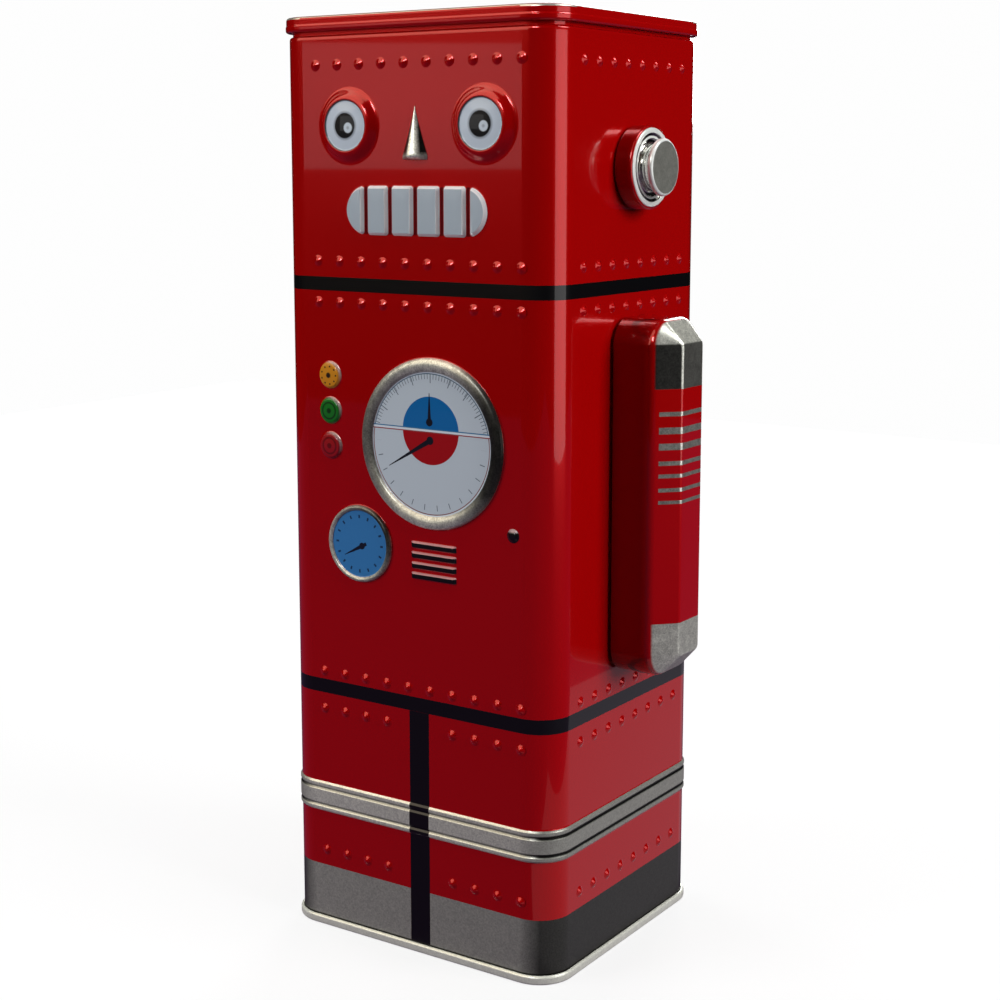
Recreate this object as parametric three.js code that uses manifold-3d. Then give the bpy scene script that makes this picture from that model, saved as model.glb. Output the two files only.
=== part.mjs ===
// Robot-shaped storage tin in red printed tinplate: a tall box with rounded corners, a slip lid,
// a rolled base seam, two pressed arms that swing on shoulder rivets, and two ear knobs that turn.
// Millimetres, +Z up, the face looks along -Y. The origin is at the middle of the footprint.

import * as THREE from 'three';
import { mergeVertices } from 'three/addons/utils/BufferGeometryUtils.js';
import Module from 'manifold-3d';

// ---- Driving dimensions -------------------------------------------------------------------

const bodyWidth = 95;            // left to right, outside the wall
const bodyDepth = 85;            // front to back, outside the wall
const bodyHeight = 266.4;        // base to the top of the shoulder
const cornerRadius = 10;
const sheet = 0.5;               // tinplate with its print and lacquer
const gap = 0.3;                 // between pieces that lie against each other
const pinClearance = 0.15;       // round a rivet's shank

const shoulderRadius = 1;        // the body turns in by this much to make the neck
const lidGap = 1.1;              // daylight between the shoulder and the closed lid's lower edge
const lidSkirt = 4.3;            // height of the lid's side
const lidOverhang = 1.1;         // lid's side stands outside the body
const lidEdgeRadius = 0.8;
const lidCurl = 1.7;             // the skirt's lower edge, rolled inwards
const lidCurlHeight = 1.3;

const seamHeight = 2.7;          // rolled seam that joins base and body
const seamProud = 1;
const basePanelRise = 3;         // the base panel is pressed up inside the seam

const beltBottom = 36.2;         // raised belt round the legs
const beltTop = 45.5;
const beltProud = 0.5;

const artShift = 2.4;            // the pressed face sits this far towards the robot's left

// What is on the head and chest is placed by its drop from the top of the shoulder.

const eyeSpread = 23.1;
const eyeDrop = 25.4;
const eyeRadius = 10.8;
const eyeDiscRadius = 7.2;
const eyeRise = 2.2;

const noseDrop = 19.9;           // to its tip
const noseTall = 15;
const noseHalfWidth = 4.3;
const noseRise = 3.5;

const mouthDrop = 49;
const mouthWidth = 48.4;
const mouthTall = 13.9;
const mouthRise = 1.2;
const toothGap = 1.3;
const toothGaps = [-17.3, -8.8, 0, 9, 17.8];

const dialX = 5.1;
const dialDrop = 114;
const dialRadius = 24.4;
const dialFaceRadius = 20.6;
const dialRise = 1.6;
const gaugeX = -20.8;
const gaugeDrop = 145.5;
const gaugeRadius = 11.4;
const gaugeFaceRadius = 10;
const gaugeRise = 1.2;
const dialFaceRise = 0.6;

const lampX = -31.2;
const lampDrops = [96.7, 107.1, 117.4];
const lampRadius = 4.2;
const lampRise = 1;

const switchX = 32.6;
const switchDrop = 137.1;
const switchRadius = 2.1;
const switchRise = 0.8;

const ventX = 5.6;
const ventDrop = 143.5;         // to its top bar
const ventPitch = 3;
const ventCount = 4;
const ventWidth = 15.4;
const ventBar = 1.2;
const ventRise = 0.8;

const armDrop = 78.8;            // to the arm's top
const armLength = 102.5;
const armWidth = 24.8;
const armStandoff = 1.2;         // between the body's wall and the arm's back
const armStraight = 12.45;       // the arm's side before its bevel starts
const armDepth = 18.6;
const armBevel = 6.6;            // the outer face is this much smaller all round
const armCornerRadius = 7.75;
const armPivotDrop = 12.4;       // shoulder rivet below the arm's top

const earDrop = 37;
const earCupRadius = 11.75;
const earCupDepth = 5.5;
const earLipClearance = 0.2;
const earKnobRadius = 8;
const earKnobNeck = 6.8;
const earKnobOut = 10.2;         // outer face of the knob from the body's wall
const earFlange = 0.9;

const rivetRadius = 2;
const rivetHeadRadius = 3.5;
const rivetHeadHeight = 1.2;
const rivetTailRadius = 3.3;
const rivetTailHeight = 1;
const washerRadius = 5;
const washerThickness = 0.6;
const springWasherRadius = 4.4;
const springWasherRise = 0.35;   // a shallow cone, so that it presses

const cornerSteps = 6;           // facets in a rounded corner
const discFacets = 28;
const pinFacets = 16;

// ---- Finishes -----------------------------------------------------------------------------

const finish = (color, roughness, metalness) => new THREE.MeshStandardMaterial({ color, roughness, metalness });
const redPrint = finish(0xb0141a, 0.25, 0.1);
const bareTin = finish(0xb4b2ac, 0.35, 0.9);
const brightKnob = finish(0xc8c8c4, 0.25, 1);
const zincSteel = finish(0x9a9c9e, 0.4, 0.9);

// ---- Shape helpers ------------------------------------------------------------------------

const AXIS = null;
const wasm = await Module();
wasm.setup();

/** Turns a closed geometry into a solid that can be joined and cut. */
function solid(geometry) {
  const bare = geometry.clone();
  bare.deleteAttribute('normal');
  bare.deleteAttribute('uv');
  const merged = mergeVertices(bare.index ? bare.toNonIndexed() : bare, 1e-4);
  const corners = [];
  for (let i = 0; i < merged.index.count; i += 3) {
    const [a, b, c] = [0, 1, 2].map((k) => merged.index.getX(i + k));
    if (a !== b && b !== c && c !== a) corners.push(a, b, c);
  }
  const vertProperties = new Float32Array(merged.attributes.position.array);
  const triVerts = new Uint32Array(corners);
  return new wasm.Manifold(new wasm.Mesh({ numProp: 3, vertProperties, triVerts }));
}

/** Turns a solid back into a geometry. */
function skin(body) {
  const mesh = body.getMesh();
  const geometry = new THREE.BufferGeometry();
  geometry.setAttribute('position', new THREE.BufferAttribute(mesh.vertProperties, 3));
  geometry.setIndex(new THREE.BufferAttribute(mesh.triVerts, 1));
  geometry.computeVertexNormals();
  return geometry;
}

/** A round piece turned about Z. The profile lists [radius, height], outside going up. */
function turned(profile, facets) {
  const points = profile.map(([radius, height]) => new THREE.Vector2(radius ?? 0, height));
  return new THREE.LatheGeometry(points, facets).rotateX(Math.PI / 2);
}

/** The same, round a rectangle with rounded corners. The profile lists [distance outside it, height]. */
function squared(profile, width, depth, radius) {
  const step = Math.PI / 2 / cornerSteps;
  const toFlat = 1 / Math.cos(step / 2);
  const points = profile.map(([out, height]) => (
    new THREE.Vector2(out === AXIS ? 0 : (radius + out) * toFlat, height)));
  const geometry = new THREE.LatheGeometry(points, 4 * cornerSteps, step / 2).rotateX(Math.PI / 2);
  const place = geometry.attributes.position;
  for (let i = 0; i < place.count; i += 1) {
    const [x, y] = [place.getX(i), place.getY(i)];
    if (Math.hypot(x, y) > 1e-6) {
      place.setX(i, x + Math.sign(x) * (width / 2 - radius));
      place.setY(i, y + Math.sign(y) * (depth / 2 - radius));
    }
  }
  return geometry;
}

/** A flat ring with its lower face at the given height. */
function ring(hole, radius, bottom, thickness, facets) {
  const top = bottom + thickness;
  return turned([[hole, bottom], [radius, bottom], [radius, top], [hole, top], [hole, bottom]], facets);
}

/** A box by its middle and size. */
const block = (width, depth, height, x, y, z) => new THREE.BoxGeometry(width, depth, height).translate(x, y, z);

/** Stands a shape that was made on the XY plane on the front of the body. */
const onFront = (geometry, x, z) => geometry.rotateX(Math.PI / 2).translate(x + artShift, -bodyDepth / 2, z);

const robot = new THREE.Group();
robot.name = 'robot_tin';

function addPiece(parent, name, geometry, material) {
  const mesh = new THREE.Mesh(geometry, material);
  mesh.name = name;
  parent.add(mesh);
}

// ---- Heights that follow from the body -----------------------------------------------------

const fromTop = (drop) => bodyHeight - drop;
const lidBottom = bodyHeight + lidGap;
const lidTop = lidBottom + lidSkirt;
const armTop = fromTop(armDrop);
const armMiddle = armTop - armLength / 2;
const shoulderHeight = armTop - armPivotDrop;
const earHeight = fromTop(earDrop);
const noseTop = fromTop(noseDrop);
const noseMiddle = noseTop - noseTall / 2;

// ---- Body shell: wall, shoulder and neck in one sheet, with the face and panels pressed in ----

const seamFloor = sheet + gap;                       // body wall's lower edge stands clear of the seam
const wallBottom = seamFloor + gap;
const neckInset = shoulderRadius;
const neckTop = lidTop - sheet - gap;
const shoulderLow = bodyHeight - shoulderRadius;

const arc = (steps, point) => Array.from({ length: steps + 1 }, (_, i) => point(i / steps * Math.PI / 2));
const shoulder = arc(3, (a) => [-shoulderRadius + shoulderRadius * Math.cos(a),
  shoulderLow + shoulderRadius * Math.sin(a)]);

const wallProfile = [
  [0, wallBottom],
  [0, beltBottom], [beltProud, beltBottom + beltProud],
  [beltProud, beltTop - beltProud], [0, beltTop],
  ...shoulder,
  [-neckInset, neckTop],
  [-neckInset - sheet, neckTop],
  [-neckInset - sheet, bodyHeight - sheet], [-sheet, shoulderLow - sheet],
  [-sheet, beltTop], [beltProud - sheet, beltTop - beltProud],
  [beltProud - sheet, beltBottom + beltProud], [-sheet, beltBottom],
  [-sheet, wallBottom],
  [0, wallBottom],
];

/** Presses a shape out of the front: the outer form is added and the hollow behind it cut away. */
function press(wall, outer, hollow) {
  return wall.add(solid(outer)).subtract(solid(hollow));
}

/** A round pressing and the hollow behind it. The steps list [radius, rise] from the rim inwards. */
function roundPressing(steps, x, z) {
  const inset = ([radius, rise], i, shrink) => {
    const before = steps[i - 1]?.[1] ?? rise;
    const after = steps[i + 1]?.[1] ?? rise;
    const falls = rise < before || rise > after;
    return [radius + (falls ? shrink : -shrink), rise - shrink];
  };
  const form = (shrink, low) => {
    const slopes = steps.map((step, i) => inset(step, i, shrink));
    return turned([[AXIS, low], [slopes[0][0], low], ...slopes, [AXIS, slopes.at(-1)[1]]], discFacets);
  };
  return [onFront(form(0, -sheet / 2), x, z), onFront(form(sheet, -2 * sheet), x, z)];
}

/** The mouth's outline: a bar with half-round ends. */
function stadium(width, height) {
  const r = height / 2;
  const shape = new THREE.Shape();
  shape.moveTo(-width / 2 + r, -r);
  shape.lineTo(width / 2 - r, -r);
  shape.absarc(width / 2 - r, 0, r, -Math.PI / 2, Math.PI / 2, false);
  shape.lineTo(-width / 2 + r, r);
  shape.absarc(-width / 2 + r, 0, r, Math.PI / 2, 1.5 * Math.PI, false);
  return shape;
}

function teeth(shrink, low, high) {
  const outline = stadium(mouthWidth - 2 * shrink, mouthTall - 2 * shrink);
  const bar = new THREE.ExtrudeGeometry(outline, { depth: high - low, bevelEnabled: false, curveSegments: 10 });
  let row = solid(onFront(bar.translate(0, 0, low), 0, fromTop(mouthDrop)));
  for (const x of toothGaps) {
    const slit = block(toothGap + 2 * shrink, mouthTall + 2, 6 * mouthRise, x, 0, 0);
    row = row.subtract(solid(onFront(slit, 0, fromTop(mouthDrop))));
  }
  return row;
}

/** The nose: half of a cone that lies on the wall with its flat end down. */
function nose(shrink) {
  const tall = noseTall - 2 * shrink;
  const cone = new THREE.ConeGeometry(noseHalfWidth - shrink, tall, pinFacets).rotateX(Math.PI / 2);
  cone.scale(1, (noseRise - shrink) / (noseHalfWidth - shrink), 1);
  cone.translate(artShift, -bodyDepth / 2, noseMiddle);
  const behind = shrink > 0 ? 2 * sheet : sheet / 2;
  const keep = block(4 * noseHalfWidth, 4 * noseRise, 2 * tall,
    artShift, -bodyDepth / 2 + behind - 2 * noseRise, noseMiddle);
  return solid(cone).intersect(solid(keep));
}

function bodyShell() {
  let wall = solid(squared(wallProfile, bodyWidth, bodyDepth, cornerRadius));
  for (const side of [-1, 1]) {
    const dome = [[eyeRadius, 0], [eyeRadius - 1.6, eyeRise * 0.75], [eyeDiscRadius, eyeRise]];
    wall = press(wall, ...roundPressing(dome, side * eyeSpread, fromTop(eyeDrop)));
  }
  const bezel = (radius, face, rise) => [[radius, 0], [radius - 0.8, rise], [face + 0.8, rise], [face, dialFaceRise]];
  wall = press(wall, ...roundPressing(bezel(dialRadius, dialFaceRadius, dialRise), dialX, fromTop(dialDrop)));
  wall = press(wall, ...roundPressing(bezel(gaugeRadius, gaugeFaceRadius - 1.4, gaugeRise), gaugeX, fromTop(gaugeDrop)));
  for (const drop of lampDrops) {
    wall = press(wall, ...roundPressing([[lampRadius, 0], [lampRadius - 0.6, lampRise]], lampX, fromTop(drop)));
  }
  const knob = [[switchRadius, 0], [switchRadius - 0.4, switchRise]];
  wall = press(wall, ...roundPressing(knob, switchX, fromTop(switchDrop)));
  for (let i = 0; i < ventCount; i += 1) {
    const z = fromTop(ventDrop) - i * ventPitch;
    const bar = (grow, out) => onFront(block(ventWidth + grow, ventBar + grow, 2 * ventRise, 0, 0, out), ventX, z);
    wall = wall.add(solid(bar(sheet, 0)));
    wall = wall.subtract(solid(bar(0, -sheet - 2 * gap)));
  }
  wall = wall.add(teeth(0, -sheet / 2, mouthRise)).subtract(teeth(sheet, -2 * sheet, mouthRise - sheet));
  wall = wall.add(nose(0)).subtract(nose(sheet));

  const hole = (radius, z) => solid(new THREE.CylinderGeometry(radius, radius, 2 * bodyWidth, pinFacets)
    .rotateZ(Math.PI / 2).translate(0, 0, z));
  wall = wall.subtract(hole(rivetRadius + pinClearance, shoulderHeight));
  wall = wall.subtract(hole(rivetRadius + pinClearance, earHeight));
  return skin(wall);
}

addPiece(robot, 'body_shell', bodyShell(), redPrint);

// ---- Base plate: a panel pressed up inside the rolled seam that holds the body's lower edge ----

const seamInside = -sheet - gap;                     // face of the seam inside the body's wall
const panelWall = seamInside - sheet;
const seamTop = seamHeight;
const seamRound = 0.3;
const baseProfile = [
  [AXIS, basePanelRise],
  [panelWall, basePanelRise], [panelWall, seamRound], [panelWall + seamRound, 0],
  [seamProud - seamRound, 0], [seamProud, seamRound],
  [seamProud, seamTop - seamRound], [seamProud - seamRound, seamTop], [gap, seamTop],
  [gap, seamFloor], [seamInside, seamFloor],
  [seamInside, basePanelRise + sheet],
  [AXIS, basePanelRise + sheet],
];
addPiece(robot, 'base_plate', squared(baseProfile, bodyWidth, bodyDepth, cornerRadius), bareTin);

// ---- Lid: a shallow cap whose skirt is rolled inwards at its lower edge and rides on the neck ----

const curlInside = lidOverhang - lidCurl;
const curlRound = 0.4;
const lidInside = lidOverhang - sheet;
const lidProfile = [
  [AXIS, lidTop - sheet],
  [lidInside - lidEdgeRadius / 2, lidTop - sheet], [lidInside, lidTop - lidEdgeRadius - sheet / 2],
  [lidInside, lidBottom + lidCurlHeight], [curlInside + curlRound, lidBottom + lidCurlHeight],
  [curlInside, lidBottom + lidCurlHeight - curlRound], [curlInside, lidBottom + curlRound],
  [curlInside + curlRound, lidBottom],
  [lidOverhang - curlRound, lidBottom], [lidOverhang, lidBottom + curlRound],
  ...arc(3, (a) => [lidOverhang - lidEdgeRadius + lidEdgeRadius * Math.cos(a),
    lidTop - lidEdgeRadius + lidEdgeRadius * Math.sin(a)]),
  [AXIS, lidTop],
];
addPiece(robot, 'lid', squared(lidProfile, bodyWidth, bodyDepth, cornerRadius), redPrint);

// ---- Rivets and washers: each stack lies along the outward axis, measured from the body's wall ----

const innerWasherTop = -sheet - gap;
const springWasherTop = innerWasherTop - washerThickness - gap;
const springWasherHeight = sheet + springWasherRise;

/** A rivet with its head outside and its tail spread inside the body. */
function rivet(headSeat, tailSeat) {
  const headTop = headSeat + rivetHeadHeight;
  const tailEnd = tailSeat - rivetTailHeight;
  return turned([
    [AXIS, tailEnd], [rivetTailRadius - 0.4, tailEnd], [rivetTailRadius, tailSeat - 0.6],
    [rivetTailRadius, tailSeat], [rivetRadius, tailSeat],
    [rivetRadius, headSeat], [rivetHeadRadius, headSeat],
    [rivetHeadRadius, headTop - 0.7], [rivetHeadRadius - 0.9, headTop], [AXIS, headTop],
  ], pinFacets);
}

/** A thin coned washer, its rim towards the wall. */
function springWasher() {
  const hole = rivetRadius + pinClearance;
  const rim = springWasherTop - springWasherRise;
  return turned([
    [hole, rim - sheet], [springWasherRadius, springWasherTop - sheet], [springWasherRadius, springWasherTop],
    [hole, rim], [hole, rim - sheet],
  ], pinFacets);
}

const flatWasher = (bottom) => ring(rivetRadius + pinClearance, washerRadius, bottom, washerThickness, pinFacets);

// ---- Arms: a drawn tray with bevelled edges, closed at the back by a plate --------------------

const armBack = armStandoff;
const armFront = armStandoff + armDepth;
const bevelStart = armStandoff + armStraight;
const plateFace = armBack + sheet;

const armShellProfile = [
  [AXIS, armFront - sheet], [-armBevel - sheet / 2, armFront - sheet],
  [-sheet, bevelStart - sheet / 2], [-sheet, armBack],
  [0, armBack], [0, bevelStart], [-armBevel, armFront], [AXIS, armFront],
];

const armShell = () => squared(armShellProfile, armLength, armWidth, armCornerRadius);

function armBackPlate() {
  const edge = -sheet - gap;
  const plate = squared([[AXIS, armBack], [edge, armBack], [edge, plateFace], [AXIS, plateFace]],
    armLength, armWidth, armCornerRadius);
  const hole = new THREE.CylinderGeometry(rivetRadius + pinClearance, rivetRadius + pinClearance,
    6 * armStandoff, pinFacets).rotateX(Math.PI / 2).translate(-(shoulderHeight - armMiddle), 0, armBack);
  return skin(solid(plate).subtract(solid(hole)));
}

// ---- Ears: a red cup riveted to the head, with a stepped bright knob pressed into it ----------

const cupInside = earCupRadius - sheet;
const cupBottom = gap;
const cupFloor = cupBottom + sheet;
const cupRim = cupBottom + earCupDepth;
const flangeRadius = cupInside - earLipClearance;
const flangeTop = cupRim - gap;
const flangeBottom = flangeTop - earFlange;
const knobShell = 0.9;
const neckHigh = earKnobOut - 2.2;

const cupProfile = [
  [rivetRadius + pinClearance, cupBottom], [earCupRadius - 0.6, cupBottom], [earCupRadius, cupBottom + 0.6],
  [earCupRadius, cupRim - 0.2], [earCupRadius - sheet / 2, cupRim], [cupInside, cupRim - 0.2],
  [cupInside, cupFloor + 0.2], [cupInside - 0.3, cupFloor], [rivetRadius + pinClearance, cupFloor],
  [rivetRadius + pinClearance, cupBottom],
];

const knobProfile = [
  [AXIS, earKnobOut - 1.5 * knobShell - 1],
  [earKnobNeck - knobShell, earKnobOut - 1.5 * knobShell - 1], [earKnobNeck - knobShell, flangeBottom],
  [flangeRadius, flangeBottom], [flangeRadius, flangeTop - 0.1], [flangeRadius - 0.5, flangeTop + 0.2],
  [flangeRadius - 1.8, flangeTop - 0.2], [earKnobNeck + 0.2, flangeTop - 0.2],
  [earKnobNeck, neckHigh], [earKnobRadius - 0.3, neckHigh + 0.7], [earKnobRadius, neckHigh + 1.2],
  [earKnobRadius, earKnobOut - 0.5], [earKnobRadius - 0.5, earKnobOut], [AXIS, earKnobOut],
];

// ---- The two sides: the same set of pieces, the right one turned half round -------------------

/** Moves a piece made about Z to lie along the outward axis of a side, at the given height. */
const outward = (geometry, z) => geometry.rotateY(Math.PI / 2).translate(0, 0, z);

for (const [side, turn] of [['left', 0], ['right', Math.PI]]) {
  const flank = new THREE.Group();
  flank.position.set(Math.cos(turn) * bodyWidth / 2, 0, 0);
  flank.rotation.z = turn;
  robot.add(flank);

  const armTailSeat = springWasherTop - springWasherHeight - gap;
  const earTailSeat = innerWasherTop - washerThickness - gap;
  addPiece(flank, `arm_${side}_shell`, outward(armShell(), armMiddle), redPrint);
  addPiece(flank, `arm_${side}_back_plate`, outward(armBackPlate(), armMiddle), bareTin);
  addPiece(flank, `arm_${side}_rivet`, outward(rivet(plateFace + gap, armTailSeat), shoulderHeight), zincSteel);
  addPiece(flank, `arm_${side}_spacer_washer`, outward(flatWasher(gap), shoulderHeight), zincSteel);
  addPiece(flank, `arm_${side}_inner_washer`,
    outward(flatWasher(innerWasherTop - washerThickness), shoulderHeight), zincSteel);
  addPiece(flank, `arm_${side}_spring_washer`, outward(springWasher(), shoulderHeight), zincSteel);

  addPiece(flank, `ear_${side}_cup`, outward(turned(cupProfile, discFacets), earHeight), redPrint);
  addPiece(flank, `ear_${side}_knob`, outward(turned(knobProfile, discFacets), earHeight), brightKnob);
  addPiece(flank, `ear_${side}_rivet`, outward(rivet(cupFloor + gap, earTailSeat), earHeight), zincSteel);
  addPiece(flank, `ear_${side}_inner_washer`,
    outward(flatWasher(innerWasherTop - washerThickness), earHeight), zincSteel);
}

export default robot;
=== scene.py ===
import math

import bpy
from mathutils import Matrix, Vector
from mathutils.geometry import delaunay_2d_cdt


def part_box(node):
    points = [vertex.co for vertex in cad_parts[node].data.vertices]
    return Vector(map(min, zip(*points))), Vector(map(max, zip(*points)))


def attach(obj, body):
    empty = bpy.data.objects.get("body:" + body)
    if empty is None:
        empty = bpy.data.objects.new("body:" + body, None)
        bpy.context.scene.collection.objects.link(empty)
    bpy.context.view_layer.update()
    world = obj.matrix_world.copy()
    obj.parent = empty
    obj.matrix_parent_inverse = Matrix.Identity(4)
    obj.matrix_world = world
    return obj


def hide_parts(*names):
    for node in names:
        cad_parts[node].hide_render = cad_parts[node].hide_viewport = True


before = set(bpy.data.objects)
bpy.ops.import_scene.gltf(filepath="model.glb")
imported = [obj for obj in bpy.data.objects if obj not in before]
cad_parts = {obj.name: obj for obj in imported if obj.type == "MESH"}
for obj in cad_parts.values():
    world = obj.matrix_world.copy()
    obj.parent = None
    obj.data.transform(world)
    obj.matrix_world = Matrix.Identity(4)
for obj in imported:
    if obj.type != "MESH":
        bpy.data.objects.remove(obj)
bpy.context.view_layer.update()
MM = 0.001


# ---- Body sheet ----------------------------------------------------------------------------
# The tin's wall, shoulder and neck are one sheet of printed tinplate, bent round four corners and
# closed at the back. It is printed flat and varnished before it is pressed, so print and relief agree.

sheet = 0.5 * MM                  # how thick the tinplate is
belt_rise = 0.5 * MM              # how far the belt stands out from the wall
corner_radius = 10 * MM
neck_inset = 1 * MM
lid_gap = 1.1 * MM                # from the shoulder to the lid's lower edge
body_low, body_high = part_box("body_shell")
lid_low, lid_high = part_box("lid")
half_width = body_high.x - belt_rise
half_depth = body_high.y - belt_rise
shoulder_top = lid_low.z - lid_gap
neck_top = body_high.z
wall_bottom = body_low.z

belt_low, belt_high = 36.2 * MM, 45.5 * MM
belt_middle = (belt_low + belt_high) / 2
belt_groove = 2.65 * MM           # from the belt's middle to each groove
foot_high = 19.1 * MM
seam_top = 2.7 * MM               # top of the rolled seam at the base
neck_band = (194.2 * MM, 198.2 * MM)
waist_band = (73.5 * MM, 77.8 * MM)
leg_band_half = 3.5 * MM
bare_strip_x = 2 * MM             # a strip left without print beside the seam at the back
bare_strip_half = 0.35 * MM
art_shift = 2.4 * MM              # the print and its pressings sit a little to the robot's left

RED = (0.50, 0.0006, 0.0009)
SHADED_RED = (0.24, 0.0004, 0.0008)  # the red darkened as painted shade, on the arms' walls and the ear cups
BLACK = (0.0014, 0.0014, 0.0018)
SILVER = (0.465, 0.468, 0.412)


def outset(x, y):
    """How far a point lies outside the body's outline, seen from above; inside is negative."""
    a = abs(x) - (half_width - corner_radius)
    b = abs(y) - (half_depth - corner_radius)
    return math.hypot(max(a, 0), max(b, 0)) + min(max(a, b), 0) - corner_radius


def softened(path, steps=5):
    """A closed path with its corners rounded: each point is (a, b), or (a, b, radius) for a round one."""
    points = []
    for i, (a, b, *radius) in enumerate(path):
        if not radius:
            points.append((a, b))
            continue
        here = Vector((a, b))
        before = (Vector(path[i - 1][:2]) - here).normalized()
        after = (Vector(path[(i + 1) % len(path)][:2]) - here).normalized()
        half_angle = before.angle(after) / 2
        centre = here + (before + after).normalized() * radius[0] / math.sin(half_angle)
        first = here + before * radius[0] / math.tan(half_angle) - centre
        last = here + after * radius[0] / math.tan(half_angle) - centre
        start = math.atan2(first.y, first.x)
        turn = (math.atan2(last.y, last.x) - start + math.pi) % (2 * math.pi) - math.pi
        for k in range(steps + 1):
            angle = start + turn * k / steps
            points.append((centre.x + radius[0] * math.cos(angle), centre.y + radius[0] * math.sin(angle)))
    return points


def box_spokes(half_a, half_b, radius, steps=12):
    """Centre and direction of each point round a rectangle with rounded corners, counter-clockwise.

    The list starts where the low b side ends, so the last and first points are joined by that side."""
    spokes = []
    for quarter, (side_a, side_b) in enumerate(((1, -1), (1, 1), (-1, 1), (-1, -1))):
        centre = Vector((side_a * (half_a - radius), side_b * (half_b - radius)))
        for k in range(steps + 1):
            angle = math.radians(90 * (quarter - 1 + k / steps))
            spokes.append((centre, Vector((math.cos(angle), math.sin(angle)))))
    return spokes


def strips(n, rows, wrap=False):
    """Faces between neighbouring rings of n points. With wrap=True the last ring joins the first."""
    faces = []
    for row in range(rows if wrap else rows - 1):
        low, high = row * n, (row + 1) % rows * n
        faces += [(low + k, low + (k + 1) % n, high + (k + 1) % n, high + k) for k in range(n)]
    return faces


def caps(n, rows):
    """Flat faces that close the first and last of the rings."""
    return [tuple(range(n - 1, -1, -1)), tuple(range((rows - 1) * n, rows * n))]


def carried(profile, spokes, radius, ends=False):
    """Carries a profile of (outset, height) round the spokes, outside going up.

    A profile closes on itself, or with ends=True its first and last rings are closed by flat faces."""
    verts = [(c.x + d.x * (radius + out), c.y + d.y * (radius + out), height)
             for out, height in profile for c, d in spokes]
    n, rows = len(spokes), len(profile)
    return verts, strips(n, rows) + caps(n, rows) if ends else strips(n, rows, wrap=True)


def piece(name, shape, materials, body, slots=None):
    """Makes a smooth mesh piece that rides on a body. slots, where given, picks a face's material by its
    middle. Big faces weigh most in the normals, so flats stay flat."""
    verts, faces = shape
    mesh = bpy.data.meshes.new(name)
    mesh.from_pydata([tuple(v) for v in verts], [], faces)
    for material in materials:
        mesh.materials.append(material)
    for face in mesh.polygons:
        face.material_index = slots(face.center) if slots else 0
    mesh.shade_smooth()
    normals = [Vector() for _ in mesh.vertices]
    for face in mesh.polygons:
        for v in face.vertices:
            normals[v] += face.normal * face.area
    mesh.normals_split_custom_set_from_vertices([n.normalized() for n in normals])
    made = bpy.data.objects.new(name, mesh)
    bpy.context.scene.collection.objects.link(made)
    if body:
        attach(made, body)
    return made


class Field:
    """A number that varies over a surface. Arithmetic on it adds Math nodes to its tree."""

    def __init__(self, tree, socket):
        self.tree, self.socket = tree, socket

    def math(self, operation, *others, clamp=False):
        node = self.tree.nodes.new("ShaderNodeMath")
        node.operation, node.use_clamp = operation, clamp
        for slot, value in zip(node.inputs, (self, *others)):
            feed(self.tree, slot, value)
        return Field(self.tree, node.outputs[0])

    def __add__(self, other):
        return self.math("ADD", other)

    def __sub__(self, other):
        return self.math("SUBTRACT", other)

    def __mul__(self, other):
        return self.math("MULTIPLY", other)

    def __truediv__(self, other):
        return self.math("DIVIDE", other)

    def size(self):
        return self.math("ABSOLUTE")

    def most(self, other):
        return self.math("MAXIMUM", other)

    def over(self, edge, blur=0.04 * MM):
        """1 where this is above the edge, fading to 0 below it."""
        return ((self - edge) / blur).math("ADD", 0.5, clamp=True)

    def under(self, edge, blur=0.04 * MM):
        return ((self - edge) / -blur).math("ADD", 0.5, clamp=True)

    def between(self, low, high, blur=0.04 * MM):
        return self.over(low, blur) * self.under(high, blur)

    def hypot(self, other):
        return (self * self + other * other).math("SQRT")


def feed(tree, slot, value):
    """Links a field or an output to an input, or sets a plain value on it. A colour gets its alpha."""
    if isinstance(value, Field):
        tree.links.new(value.socket, slot)
    elif isinstance(value, bpy.types.NodeSocket):
        tree.links.new(value, slot)
    elif isinstance(value, tuple) and len(slot.default_value) == 4:
        slot.default_value = (*value, 1.0)
    else:
        slot.default_value = value


def add_node(tree, kind, **inputs):
    """Adds a node and feeds its inputs, whose names have _ for a space."""
    node = tree.nodes.new(kind)
    for key, value in inputs.items():
        feed(tree, node.inputs[key.replace("_", " ")], value)
    return node


def noise(tree, place, **settings):
    return Field(tree, add_node(tree, "ShaderNodeTexNoise", Vector=place, **settings).outputs[0])


def surface_point(tree):
    return tree.nodes.new("ShaderNodeTexCoord").outputs["Object"]


def place_in(tree, centre=(0, 0, 0)):
    """The surface point's x, y and z, in metres, measured from a centre."""
    parts = add_node(tree, "ShaderNodeSeparateXYZ", Vector=surface_point(tree))
    return [Field(tree, parts.outputs[i]) - centre[i] for i in range(3)]


def painted(tree, colour, *coats):
    """Lays coats of (mask, colour) over a colour and gives back the result."""
    for mask, coat in coats:
        mix = tree.nodes.new("ShaderNodeMix")
        mix.data_type = "RGBA"
        for slot, value in ((0, mask), (6, colour), (7, coat)):
            feed(tree, mix.inputs[slot], value)
        colour = mix.outputs[2]
    return colour


def shader_group(name, inputs, outputs):
    """An empty shader node group. Inputs map a name to a default number, or to None for a vector."""
    tree = bpy.data.node_groups.new(name, "ShaderNodeTree")
    for key, default in inputs.items():
        kind = "NodeSocketVector" if default is None else "NodeSocketFloat"
        made = tree.interface.new_socket(key, in_out="INPUT", socket_type=kind)
        if default is not None:
            made.default_value = default
    for key, kind in outputs.items():
        tree.interface.new_socket(key, in_out="OUTPUT", socket_type=kind)
    return tree, tree.nodes.new("NodeGroupInput"), tree.nodes.new("NodeGroupOutput")


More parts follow.
